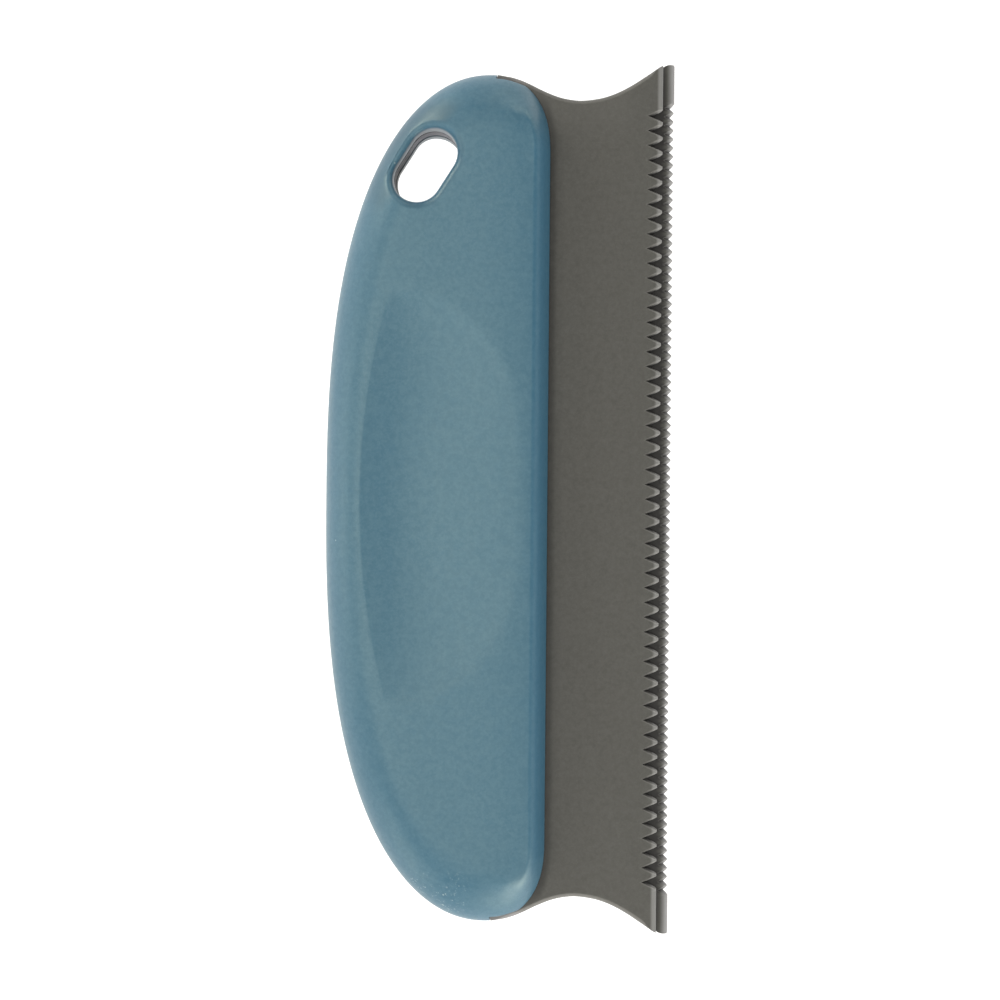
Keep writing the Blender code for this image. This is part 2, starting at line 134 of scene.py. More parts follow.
def make_studio():
    w = bpy.data.worlds.new("studio")
    bpy.context.scene.world = w
    w.use_nodes = True
    bg = w.node_tree.nodes["Background"]
    bg.inputs["Color"].default_value = (*WARM, 1.0)
    bg.inputs["Strength"].default_value = 0.17
    for el, az, watts, size in SOFTBOXES:
        e, a = math.radians(el), math.radians(az)
        place = (0.9 * math.cos(e) * math.cos(a), 0.9 * math.cos(e) * math.sin(a), 0.9 * math.sin(e))
        area_light("softbox_%d_%d" % (el, az), place, (0, 0, 0), size, size, watts)

    me = bpy.data.meshes.new("floor")
    s = 6.0
    me.from_pydata([(-s, -s, 0), (s, -s, 0), (s, s, 0), (-s, s, 0)], [], [(0, 1, 2, 3)])
    floor = bpy.data.objects.new("floor", me)
    bpy.context.scene.collection.objects.link(floor)
    floor.location.z = -0.0002
    m = bpy.data.materials.new("floor_white")
    m.use_nodes = True
    b = m.node_tree.nodes["Principled BSDF"]
    b.inputs["Base Color"].default_value = (0.35, 0.35, 0.35, 1.0)
    b.inputs["Roughness"].default_value = 0.9
    b.inputs["Specular IOR Level"].default_value = 0.0
    b.inputs["Emission Color"].default_value = (1.0, 1.0, 1.0, 1.0)
    b.inputs["Emission Strength"].default_value = 0.96
    me.materials.append(m)

    # pale backdrop above the horizon for the low views; only the camera sees it
    rings, around, r = 12, 48, 5.5
    pts = [(r * math.cos(e) * math.cos(a), r * math.cos(e) * math.sin(a), r * math.sin(e))
           for e in (math.radians(-4.0 + 94.0 * i / rings) for i in range(rings))
           for a in (2.0 * math.pi * k / around for k in range(around))] + [(0.0, 0.0, r)]
    quads = [(i * around + k, i * around + (k + 1) % around, (i + 1) * around + (k + 1) % around, (i + 1) * around + k)
             for i in range(rings - 1) for k in range(around)]
    last = (rings - 1) * around
    caps = [(last + k, last + (k + 1) % around, rings * around) for k in range(around)]
    me = bpy.data.meshes.new("backdrop")
    me.from_pydata(pts, [], quads + caps)
    back = bpy.data.objects.new("backdrop", me)
    bpy.context.scene.collection.objects.link(back)
    m = bpy.data.materials.new("backdrop_white")
    m.use_nodes = True
    b = m.node_tree.nodes["Principled BSDF"]
    b.inputs["Base Color"].default_value = (0.0, 0.0, 0.0, 1.0)
    b.inputs["Specular IOR Level"].default_value = 0.0
    b.inputs["Emission Color"].default_value = (1.0, 1.0, 1.0, 1.0)
    b.inputs["Emission Strength"].default_value = 1.0
    me.materials.append(m)
    back.visible_diffuse = back.visible_glossy = back.visible_transmission = False
    back.visible_volume_scatter = back.visible_shadow = False


make_camera()
make_studio()
scene = bpy.context.scene
scene.view_settings.view_transform = 'Standard'
scene.view_settings.look = 'None'
scene.view_settings.exposure = 0.0
scene.view_settings.gamma = 1.0


# ---- outline of the handle ----
def handle_outline(count):
    """Closed outline at the parting line, clockwise seen from +Z, evenly spaced."""
    n = 1200
    a = 0.5 * np.pi * np.arange(n) / n
    back = np.stack([X_CROWN + (X_BACK - X_CROWN) * np.cos(a) ** (2.0 / BACK_POWER[0]),
                     Y_CROWN * np.sin(a) ** (2.0 / BACK_POWER[1])], axis=1)
    a = 0.5 * np.pi * np.arange(n + 1) / n
    corner = np.stack([X_CROWN + (X_FRONT - X_CROWN) * np.sin(a) ** (2.0 / CORNER_POWER),
                       Y_CORNER + (Y_CROWN - Y_CORNER) * np.clip(np.cos(a), 0, 1) ** (2.0 / CORNER_POWER)], axis=1)
    half = np.concatenate([back, corner])
    ring = np.concatenate([half, half[:0:-1] * (1.0, -1.0)])
    loop = np.concatenate([ring, ring[:1]])
    walked = np.concatenate([[0.0], np.cumsum(np.hypot(*np.diff(loop, axis=0).T))])
    at = walked[-1] * np.arange(count) / count
    return np.stack([np.interp(at, walked, loop[:, 0]), np.interp(at, walked, loop[:, 1])], axis=1)


def outward(line):
    t = np.roll(line, -1, axis=0) - np.roll(line, 1, axis=0)
    n = np.stack([-t[:, 1], t[:, 0]], axis=1)
    return n / np.hypot(n[:, 0], n[:, 1])[:, None]


def smooth(t):
    t = np.clip(t, 0.0, 1.0)
    return t * t * (3.0 - 2.0 * t)


def round_width(normals):
    """Width of the rounding: narrow on the blade side, wide at the ends and on the palm side."""
    a = np.abs(np.degrees(np.arctan2(normals[:, 1], normals[:, 0])))
    back = (np.clip(a - 90.0, 0.0, 90.0) / 90.0) ** 2.5
    return np.where(a < 90.0, ROUND_FRONT + (ROUND_END - ROUND_FRONT) * smooth(a / 66.0),
                    ROUND_END + (ROUND_BACK - ROUND_END) * back)


def dish_span(y):
    v = np.abs(y) / DISH_HALF
    return DISH_BACK_X + DISH_BACK_SWEEP * v * v, DISH_FRONT_X - DISH_FRONT_SWEEP * v ** 4


def dish(x, y):
    """Depth of the finger recess: a steep side towards the palm, a long rise on the other."""
    v = np.clip(np.abs(y) / DISH_HALF, 0.0, 1.0)
    lo, hi = dish_span(np.clip(y, -DISH_HALF, DISH_HALF))
    low = lo + (hi - lo) * (0.323 + 0.18 * v ** 2 + 0.06 * v ** 6)
    deep = DISH_DEPTH * (1.0 - v ** 4) ** 0.8 + 1e-6
    x = np.clip(x, lo, hi)
    a, b, k = (x - lo) / (low - lo), deep * (hi - x) / (hi - low), (0.62 + 0.8 * v * v) * deep
    a = deep * a * (1.2 - 0.2 * a)
    h = np.clip(0.5 + 0.5 * (b - a) / k, 0.0, 1.0)
    return np.maximum(b + (a - b) * h - k * h * (1.0 - h), 0.0)


def bow(x):
    """Share of the full height that the bowed face keeps."""
    back = np.clip(BOW[0] - x, 0.0, None) ** 2 / (2.0 * BOW[1])
    front = np.clip(x - BOW[2], 0.0, None) ** 2 / (2.0 * BOW[3])
    return 1.0 - (back + front) / HALF_THICK


def round_exponent(normals):
    """Shape of the rounding: flatter on the blade side."""
    a = np.abs(np.degrees(np.arctan2(normals[:, 1], normals[:, 0])))
    t = smooth(a / 60.0)
    return 2.0 / ROUND_POWER[0] * (1.0 - t) + 2.0 / ROUND_POWER[1] * t


def stadium(length, width, grow=0.0, side=1.0, per_end=36, per_side=8):
    """Outline of the hang slot, in its place."""
    r, h = 0.5 * width + grow, 0.5 * (length - width)
    c, s = math.cos(SLOT_ANGLE), math.sin(SLOT_ANGLE)
    pts = []
    for end in (1.0, -1.0):
        for i in range(per_end + 1):
            a = -0.5 * math.pi + math.pi * i / per_end
            pts.append((end * (h + r * math.cos(a)), end * r * math.sin(a)))
        for i in range(1, per_side):
            pts.append((end * h * (1.0 - 2.0 * i / per_side), end * r))
    return np.array([(SLOT_X + x * c - y * s, side * (SLOT_Y + x * s + y * c)) for x, y in pts])


def slot_distance(p, side):
    """Distance outside the slot's wall."""
    c, s = math.cos(SLOT_ANGLE), math.sin(SLOT_ANGLE)
    dx, dy = p[:, 0] - SLOT_X, side * p[:, 1] - SLOT_Y
    a = np.maximum(np.abs(dx * c + dy * s) - 0.5 * (SLOT_LENGTH - SLOT_WIDTH), 0.0)
    return np.hypot(a, -dx * s + dy * c) - 0.5 * SLOT_WIDTH


# ---- mesh helpers ----
SCRATCH = bpy.data.collections.new("scratch")
scene.collection.children.link(SCRATCH)


def scratch(bm, name):
    """Link a bmesh, in millimetres, as an object to cut or join with."""
    bmesh.ops.recalc_face_normals(bm, faces=bm.faces)
    me = bpy.data.meshes.new(name)
    bm.to_mesh(me)
    bm.free()
    ob = bpy.data.objects.new(name, me)
    SCRATCH.objects.link(ob)
    return ob


def prism(name, points, z0, z1, lean=0.0, lean_z=0.0):
    """A closed outline extruded from z0 to z1. lean moves it along X as z falls."""
    bm = bmesh.new()
    rows = [[bm.verts.new((p[0] - lean * (z - lean_z), p[1], z)) for p in points] for z in (z0, z1)]
    n = len(points)
    for i in range(n):
        j = (i + 1) % n
        bm.faces.new((rows[0][i], rows[0][j], rows[1][j], rows[1][i]))
    flat = [Vector((p[0], p[1])) for p in points]
    _, _, faces, origin, _, _ = delaunay_2d_cdt(flat, [], [list(range(n))], 1, 1e-7)
    for f in faces:
        ids = [origin[i][0] for i in f]
        bm.faces.new([rows[0][i] for i in ids])
        bm.faces.new([rows[1][i] for i in reversed(ids)])
    return scratch(bm, name)


def rounded_slab(name, line, border):
    """A closed outline, clockwise seen from +Z, as a slab. Its border is rounded outside the
    covers, and less so on the lips."""
    seg = np.roll(line, -1, axis=0) - line
    seg /= np.hypot(seg[:, 0], seg[:, 1])[:, None]
    t = seg + np.roll(seg, 1, axis=0)
    nrm = np.stack([-t[:, 1], t[:, 0]], axis=1)
    nrm /= np.hypot(nrm[:, 0], nrm[:, 1])[:, None]
    nrm *= (smooth((line[:, 0] - X_STEP) / 4.0) * (1.0 - 0.86 * smooth((line[:, 0] - 25.5) / 2.5)))[:, None]
    levels = [(-z, d) for z, d in border] + [(z, d) for z, d in reversed(border)]
    bm = bmesh.new()
    rows = [[bm.verts.new((p[0], p[1], z)) for p in line - nrm * d] for z, d in levels]
    n = len(line)
    for a, b in zip(rows, rows[1:]):
        for i in range(n):
            j = (i + 1) % n
            bm.faces.new((a[i], a[j], b[j], b[i]))
    flat = [Vector(p) for p in line - nrm * border[0][1]]
    _, _, faces, origin, _, _ = delaunay_2d_cdt(flat, [], [list(range(n))], 1, 1e-7)
    for f in faces:
        ids = [origin[i][0] for i in f]
        bm.faces.new([rows[0][i] for i in ids])
        bm.faces.new([rows[-1][i] for i in reversed(ids)])
    return scratch(bm, name)


def disc(name, x, y, z0, z1, r, segments=40):
    a = 2.0 * math.pi * np.arange(segments) / segments
    return prism(name, np.stack([x + r * np.cos(a), y + r * np.sin(a)], axis=1), z0, z1)


def block(name, x0, x1, y0, y1, z0, z1):
    return prism(name, [(x0, y0), (x1, y0), (x1, y1), (x0, y1)], z0, z1)


def combine(ob, others, operation='DIFFERENCE'):
    """Apply Booleans at once, and drop the pieces that were used."""
    for other in others:
        m = ob.modifiers.new("cut", 'BOOLEAN')
        m.operation = operation
        m.solver = 'EXACT'
        m.object = other
    bpy.context.view_layer.update()
    dg = bpy.context.evaluated_depsgraph_get()
    me = bpy.data.meshes.new_from_object(ob.evaluated_get(dg))
    old = ob.data
    ob.modifiers.clear()
    ob.data = me
    bpy.data.meshes.remove(old)
    for other in others:
        data = other.data
        bpy.data.objects.remove(other, do_unlink=True)
        bpy.data.meshes.remove(data)
    return ob


def piece(ob, name, node, material, place, sharp=38.0):
    """Turn a scratch object into a finished piece that stands for a CAD node."""
    SCRATCH.objects.unlink(ob)
    scene.collection.objects.link(ob)
    ob.name = name
    ob.data.name = name
    ob.data.transform(Matrix.Scale(MM, 4) @ place)
    ob.data.materials.clear()
    ob.data.materials.append(material)
    for p in ob.data.polygons:
        p.material_index = 0
    ob.data.shade_smooth()
    ob.data.set_sharp_from_angle(angle=math.radians(sharp))
    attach(ob, "root")
    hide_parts(node)
    return ob


# ---- covers ----
COUNT = 520                     # points round the handle


def softened_face():
    """Height of the bowed, rounded face without its recess, and a softened copy of it on a grid."""
    line = handle_outline(COUNT)
    nrm = outward(line)
    wid, ex = round_width(nrm), round_exponent(nrm)
    seg = np.roll(line, -1, axis=0) - line
    seg2 = (seg ** 2).sum(axis=1)

    def exact(p):
        out, depth = np.empty(len(p)), np.empty(len(p))
        for k in range(0, len(p), 2000):
            q = p[k:k + 2000]
            rel = q[:, None, :] - line[None]
            t = np.clip((rel * seg[None]).sum(axis=2) / seg2, 0.0, 1.0)
            d = np.hypot(*(rel - t[..., None] * seg[None]).transpose(2, 0, 1))
            j = d.argmin(axis=1)
            r = np.arange(len(q))
            tt = t[r, j]
            w = wid[j] * (1.0 - tt) + wid[(j + 1) % COUNT] * tt
            e = ex[j] * (1.0 - tt) + ex[(j + 1) % COUNT] * tt
            inside = ((q - line[j]) * nrm[j]).sum(axis=1) < 0.0
            depth[k:k + 2000] = np.where(inside, d[r, j], -1.0)
            c = np.clip(1.0 - d[r, j] / w, 0.0, 1.0)
            out[k:k + 2000] = HALF_THICK * np.sqrt(1.0 - c * c) ** e
        return out * bow(p[:, 0]), depth

    step, sigma = 0.35, 1.2
    xs, ys = np.arange(-32.0, 10.5, step), np.arange(50.0, 77.0, step)
    gx, gy = np.meshgrid(xs, ys)
    z, depth = exact(np.stack([gx.ravel(), gy.ravel()], axis=1))
    z, mask = z.reshape(gx.shape), (depth > 0.0).astype(float).reshape(gx.shape)
    reach = int(3.0 * sigma / step)
    kernel = np.exp(-0.5 * (np.arange(-reach, reach + 1) * step / sigma) ** 2)

    def blur(a):
        a = np.apply_along_axis(lambda v: np.convolve(v, kernel, 'same'), 0, a)
        return np.apply_along_axis(lambda v: np.convolve(v, kernel, 'same'), 1, a)

    soft = blur(z * mask) / np.maximum(blur(mask), 1e-6)

    def height(p):
        out, depth = exact(p)
        u = np.clip((p[:, 0] - xs[0]) / step, 0.0, len(xs) - 1.001)
        v = np.clip((np.abs(p[:, 1]) - ys[0]) / step, 0.0, len(ys) - 1.001)
        i, j = u.astype(int), v.astype(int)
        u, v = u - i, v - j
        near = ((soft[j, i] * (1.0 - u) + soft[j, i + 1] * u) * (1.0 - v)
                + (soft[j + 1, i] * (1.0 - u) + soft[j + 1, i + 1] * u) * v)
        t = smooth((np.abs(p[:, 1]) - 54.0) / 5.0) * smooth((depth - 2.6) / 2.4)
        return out * (1.0 - t) + near * t

    return height


face_height = softened_face()


def cover_solid(name, side, count=COUNT):
    """The cover's outer form with its hang slot, closed by a flat base at the parting line."""
    line = handle_outline(count)
    nrm = outward(line)
    wid, ex = round_width(nrm), round_exponent(nrm)
    upright = 2.6                                    # the rounding's outer part, in rings
    a0 = np.arccos(1.0 - upright / wid)
    rings = [(0.16, EDGE_START), (0.055, EDGE_START + 0.035), (0.02, EDGE_START + 0.12)]
    rows = [(line - nrm * d, np.full(count, z)) for d, z in rings]
    steps = 15
    for s in range(1, steps + 1):
        a = a0 * (0.06 + 0.94 * s / steps)
        p = line - nrm * (wid * (1.0 - np.cos(a)))[:, None]
        rows.append((p, HALF_THICK * np.sin(a) ** ex * bow(p[:, 0])))

    wide, deep = SLOT_ROUND

    def height(p):
        """Outer surface above the mid plane."""
        m = np.clip(slot_distance(p, side), 0.0, wide)
        rim = deep * (1.0 - np.sqrt(np.clip(1.0 - ((wide - m) / wide) ** 2, 0.0, 1.0)))
        return face_height(p) - dish(p[:, 0], p[:, 1]) - rim

    # points and lines inside the last ring
    pts, lines = [], []
    total = count

    def add(p, closed=False):
        nonlocal total
        pts.append(p)
        if closed:
            n = len(p)
            lines.extend((total + i, total + (i + 1) % n) for i in range(n))
        total += len(p)

    fillet = 11
    slot_rings = []
    for i in range(fillet + 1):
        m = wide * (1.0 - math.cos(0.5 * math.pi * i / fillet))
        slot_rings.append(total)
        add(stadium(SLOT_LENGTH, SLOT_WIDTH, m, side), closed=True)
    slot_count = slot_rings[1] - slot_rings[0]
    inner = 9
    for s in range(1, inner + 1):
        a = a0 + (0.5 * np.pi - a0) * s / inner
        p = line - nrm * (wid * (1.0 - np.cos(a)))[:, None]
        lo, hi = dish_span(np.clip(p[:, 1], -DISH_HALF, DISH_HALF))
        in_dish = (np.abs(p[:, 1]) < DISH_HALF + 0.3) & (p[:, 0] > lo - 0.35) & (p[:, 0] < hi + 0.35)
        add(p[(slot_distance(p, side) > wide + 0.2) & ~in_dish])
    rows_n, cols_n = 84, 36
    for r in range(rows_n + 1):
        y = DISH_HALF * (2.0 * r / rows_n - 1.0) * 0.9999
        lo, hi = dish_span(y)
        u = (np.arange(cols_n + 1) / cols_n) ** 1.35
        if r:
            a, b = total - (cols_n + 1), total
            lines.append((a, b))
        add(np.stack([lo + (hi - lo) * u, np.full(cols_n + 1, y)], axis=1))
    gx, gy = np.meshgrid(np.arange(-30.0, 9.0, 1.7), np.arange(-74.0, 74.5, 1.7))
    gx[::2] += 0.85
    g = np.stack([gx.ravel(), gy.ravel()], axis=1)
    rel = g[:, None, :] - line[None]
    d = np.hypot(rel[..., 0], rel[..., 1])
    j = d.argmin(axis=1)
    inside = ((g - line[j]) * nrm[j]).sum(axis=1) < 0.0
    lo, hi = dish_span(np.clip(g[:, 1], -DISH_HALF, DISH_HALF))
    in_dish = (np.abs(g[:, 1]) < DISH_HALF + 0.6) & (g[:, 0] > lo - 0.7) & (g[:, 0] < hi + 0.7)
    keep = inside & (d[np.arange(len(g)), j] > wid[j] + 0.5) & (slot_distance(g, side) > wide + 0.8) & ~in_dish
    add(g[keep])

    flat = np.concatenate([rows[-1][0]] + pts)
    z = np.concatenate([rows[-1][1], height(flat[count:])])
    coords, _, faces, origin, _, _ = delaunay_2d_cdt([Vector(p) for p in flat], lines,
                                                     [list(range(count))], 1, 1e-6)
    bm = bmesh.new()
    rings = [[bm.verts.new((p[0], p[1], h)) for p, h in zip(*row)] for row in rows]
    for a, b in zip(rings, rings[1:]):
        for i in range(count):
            j = (i + 1) % count
            bm.faces.new((a[i], a[j], b[j], b[i]))
    made = {}
    verts = []
    for co, src in zip(coords, origin):
        k = min(src) if src else None
        if k is not None and k < count:
            verts.append(rings[-1][k])
        else:
            p = flat[k] if k is not None else np.array(co)
            h = z[k] if k is not None else float(height(p[None])[0])
            v = bm.verts.new((p[0], p[1], h))
            verts.append(v)
            for s in src:
                made[s] = v
    pos = np.array([v.co[:] for v in verts])
    for f in faces:
        mid = pos[f].mean(axis=0)[None, :2]
        if slot_distance(mid, side)[0] > 0.0:
            bm.faces.new([verts[i] for i in f])
    # slot wall, and the base
    top = [made[slot_rings[0] + i] for i in range(slot_count)]
    levels = [top]
    foot = float(min(v.co.z for v in top))
    for k in range(1, 5):
        t = k / 4.0
        levels.append([bm.verts.new((v.co.x, v.co.y, v.co.z * (1.0 - t) + EDGE_START * t)) for v in top])
    for a, b in zip(levels, levels[1:]):
        for i in range(slot_count):
            j = (i + 1) % slot_count
            bm.faces.new((a[i], a[j], b[j], b[i]))
    base = rings[0] + levels[-1]
    flat = [Vector(v.co.xy) for v in base]
    hole = [(count + i, count + (i + 1) % slot_count) for i in range(slot_count)]
    _, _, faces, origin, _, _ = delaunay_2d_cdt(flat, hole, [list(range(count))], 1, 1e-7)
    for f in faces:
        ids = [min(origin[i]) for i in f]
        mid = np.array([flat[i][:] for i in ids]).mean(axis=0)[None]
        if slot_distance(mid, side)[0] > 0.0:
            bm.faces.new([base[i] for i in ids])
    return scratch(bm, name)


def hollow_solid(name, side, count=264):
    """The space inside a cover, less the walls, bosses and ribs that stand in it."""
    line = handle_outline(count)
    nrm = outward(line)
    wid = np.maximum(round_width(nrm) - 0.8 * WALL, 0.9)
    seat = BLADE_HALF + GAP
    base = line - nrm * WALL
    top, straight = HALF_THICK - WALL, seat + 0.1
    rows = [(base, np.full(count, -2.0))]
    for s in range(7):
        a = 0.5 * math.pi * s / 6
        rows.append((base - nrm * (wid * (1.0 - math.cos(a)))[:, None],
                     np.full(count, straight + (top - 2.0 - straight) * math.sin(a) ** (2.0 / ROUND_POWER[1]))))
    bm = bmesh.new()
    rings = [[bm.verts.new((p[0], p[1], h)) for p, h in zip(*row)] for row in rows]
    for a, b in zip(rings, rings[1:]):
        for i in range(count):
            j = (i + 1) % count
            bm.faces.new((a[i], a[j], b[j], b[i]))
    bm.faces.new(list(reversed(rings[0])))
    bm.faces.new(rings[-1])
    ob = scratch(bm, name)
    ledge = SLOT_LEDGE[side < 0.0]
    cuts = [prism("wall", stadium(SLOT_LENGTH, SLOT_WIDTH, SLOT_TUBE, side), seat + ledge, 12.0)]
    cuts += [disc("boss", x, side * y, seat, 12.0, BOSS_R) for x, y in PEGS]
    cuts += [block("rib", -40.0, 20.0, y - 0.5 * RIB, y + 0.5 * RIB, seat + 0.4, 12.0) for y in RIB_Y]
    return combine(ob, cuts)


def shoulder(name, end):
    """Cuts a cover back where the blade comes out, so that the blade's edge shows beside it."""
    x = np.linspace(X_STEP - GAP, 8.0, 40)
    u = np.clip(x - X_CROWN, 0.0, None) / (X_FRONT - X_CROWN)
    y = Y_CORNER + (Y_CROWN - Y_CORNER) * (1.0 - u ** CORNER_POWER) ** (1.0 / CORNER_POWER)
    y = end * (y - SHOULDER + 1.5 * smooth((x - 2.0) / 7.0))
    return prism(name, [(x[0], end * 80.0)] + list(zip(x, y)) + [(8.0, end * 80.0)], -3.0, 12.0)


def close_gaps(ob):
    """Fill the small openings that the cuts leave in the wall of the slot."""
    bm = bmesh.new()
    bm.from_mesh(ob.data)
    bmesh.ops.holes_fill(bm, edges=[e for e in bm.edges if e.is_boundary], sides=8)
    bm.to_mesh(ob.data)
    bm.free()


def make_cover(name, node, rear, material):
    side = -1.0 if rear else 1.0
    ob = cover_solid(name, side)
    cuts = [hollow_solid("hollow", side), block("gap", X_STEP - GAP, 40.0, -90.0, 90.0, -3.0, BLADE_HALF + GAP),
            shoulder("shoulder_up", 1.0), shoulder("shoulder_down", -1.0)]
    if not rear:
        cuts += [disc("socket", x, y, -3.0, PEG_REACH + GAP, SOCKET_R) for x, y in PEGS]
    combine(ob, cuts)
    place = Matrix.Translation((0.0, 0.0, MID))
    if rear:
        combine(ob, [disc("peg", x, side * y, -PEG_REACH, 4.0, PEG_R) for x, y in PEGS], 'UNION')
        place = place @ Matrix.Rotation(math.pi, 4, 'X')
    close_gaps(ob)
    return piece(ob, name, node, material, place)


# ---- blade ----
def through(points, per):
    """Smooth curve through points."""
    pts = [Vector(p) for p in points]
    out = []
    for i in range(len(pts) - 1):
        a, b = pts[max(i - 1, 0)], pts[i]
        c, d = pts[i + 1], pts[min(i + 2, len(pts) - 1)]
        for k in range(per):
            t = k / per
            m0, m1 = 0.5 * (c - a), 0.5 * (d - b)
            out.append((2 * t**3 - 3 * t**2 + 1) * b + (t**3 - 2 * t**2 + t) * m0
                       + (3 * t**2 - 2 * t**3) * c + (t**3 - t**2) * m1)
    out.append(pts[-1])
    return out


def blade_outline():
    line = handle_outline(264)
    inner = line - outward(line) * (WALL + GAP)
    start = X_STEP - GAP + 0.02
    tang = [Vector(q) for q in inner if q[0] < start - 0.2 and q[1] > 0.0]
    tang.sort(key=lambda q: math.atan2(q.y, -(q.x + 3.0)))
    upper = [Vector((tang[0].x, 0.0))] + tang + [Vector((start, tang[-1].y - 0.05))]
    upper += through(EDGE, 8) + through([EDGE[-1]] + LIP_END, 3)[1:]
    upper = [Vector((min(p.x, BLADE_X), min(p.y, BLADE_Y))) for p in upper]
    return upper + [Vector((p.x, -p.y)) for p in reversed(upper[1:])]


def blade_section():
    """Section across the toothed edge: two lips with rounded edges and a V groove between."""
    pts = [(-40.0, BLADE_HALF), (-40.0, -BLADE_HALF)]
    mid, half = 0.5 * (BLADE_HALF + LIP_EDGE_Z), 0.5 * (BLADE_HALF - LIP_EDGE_Z)
    steps = 16
    for i in range(steps + 1):
        a = -0.5 * math.pi + math.pi * i / steps
        pts.append((BLADE_X - NOSE + NOSE * math.cos(a), -mid + half * math.sin(a)))
    pts += [(GROOVE_X, -GROOVE_HALF), (GROOVE_X - 0.06, 0.0), (GROOVE_X, GROOVE_HALF)]
    for i in range(steps + 1):
        a = -0.5 * math.pi + math.pi * i / steps
        pts.append((FRONT_LIP_X - NOSE + NOSE * math.cos(a), mid + half * math.sin(a)))
    return pts


def notches(name, row, z0, z1):
    """Row of V notches that leave teeth with rounded tips. Their roots lean outwards to the rear."""
    count, pitch, root_x, depth, slant, face_z, tip = row
    half = 0.5 * pitch * count
    alpha = math.atan2(0.5 * pitch, depth)
    cx = root_x + depth - tip / math.sin(alpha)
    pts = [(40.0, -half), (root_x + depth, -half)]
    for i in range(count):
        y = -half + pitch * (i + 0.5)
        pts.append((root_x, y))
        if i < count - 1:
            for k in range(7):
                b = (0.5 * math.pi - alpha) * (k / 3.0 - 1.0)
                pts.append((cx + tip * math.cos(b), y + 0.5 * pitch + tip * math.sin(b)))
        else:
            pts.append((root_x + depth, y + 0.5 * pitch))
    pts.append((40.0, half))
    return prism(name, pts, z0, z1, slant, face_z)


def make_blade(material):
    section = prism("section", blade_section(), -90.0, 90.0)
    section.data.transform(Matrix.Rotation(math.radians(90.0), 4, 'X'))
    ob = rounded_slab("blade", np.array([p[:] for p in blade_outline()]), BORDER)
    combine(ob, [section], 'INTERSECT')
    cuts = [notches("coarse", COARSE, 0.0, 4.0), notches("fine", FINE, -4.0, 0.0),
            prism("slot", stadium(SLOT_LENGTH, SLOT_WIDTH), -4.0, 4.0),
            prism("slot_rear", stadium(SLOT_LENGTH, SLOT_WIDTH, 0.5), -4.0, -1.2)]
    cuts += [disc("hole", x, y, -4.0, 4.0, SOCKET_R) for x, y in PEGS]
    combine(ob, cuts)
    return piece(ob, "blade_plate", "blade", material, Matrix.Translation((0.0, 0.0, MID)), 30.0)


